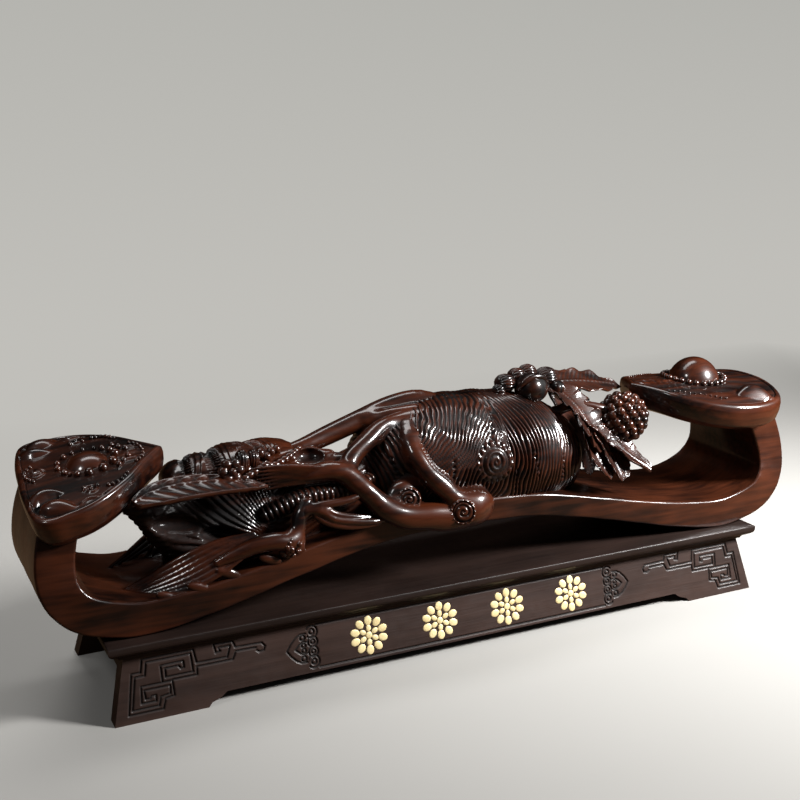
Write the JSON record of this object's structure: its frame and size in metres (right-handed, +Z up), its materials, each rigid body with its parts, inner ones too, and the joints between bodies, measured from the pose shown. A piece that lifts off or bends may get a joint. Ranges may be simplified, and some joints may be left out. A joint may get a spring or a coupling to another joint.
{
  "type": "carved wooden ruyi on a stand",
  "caption": "Carved dark hardwood ruyi with a heart-shaped head at each end and a ginseng root along its arched handle, lifting off pegs on a long footed stand.",
  "frame": {"origin": "on the floor, under the middle of the object", "axes": "+X along the length towards the larger head, +Y from the front to the back, +Z up"},
  "size_m": [0.6001, 0.1362, 0.1894],
  "materials": {
    "carved_wood": "dark hardwood, waxed to a gloss",
    "stand_wood": "dark stained hardwood, satin",
    "inner_wood": "plain hardwood",
    "screw_steel": "plated steel"
  },
  "bodies": {
    "stand": {"top_board": "stand_wood", "front_apron": "stand_wood", "rear_apron": "stand_wood", "left_end_rail": "stand_wood", "right_end_rail": "stand_wood", "corner_blocks": "inner_wood", "glue_strips": "inner_wood", "strip_screws_set": "screw_steel", "locating_pegs": "inner_wood"},
    "ruyi": {"handle": "carved_wood", "left_head": "carved_wood", "right_head": "carved_wood", "left_pearl": "carved_wood", "right_pearl": "carved_wood", "head_dowels": "inner_wood", "ginseng_root": "carved_wood", "root_mass": "carved_wood", "upper_limb": "carved_wood", "middle_limb": "carved_wood", "crossing_limb": "carved_wood", "ringed_root": "carved_wood", "forked_rootlet": "carved_wood", "node_limb": "carved_wood", "rear_limb": "carved_wood", "left_leaf": "carved_wood", "reishi_caps": "carved_wood", "flower_buds": "carved_wood", "crown_bud": "carved_wood", "front_leaf": "carved_wood", "side_leaf": "carved_wood", "rear_leaf": "carved_wood", "berry_stalk": "carved_wood", "berry_cluster": "carved_wood", "root_dowels": "inner_wood"}
  },
  "joints": [
    {"name": "ruyi_lift", "type": "slide", "parent": "stand", "child": "ruyi", "axis": [0, 0, 1], "range_m": [0, 0.12]}
  ]
}
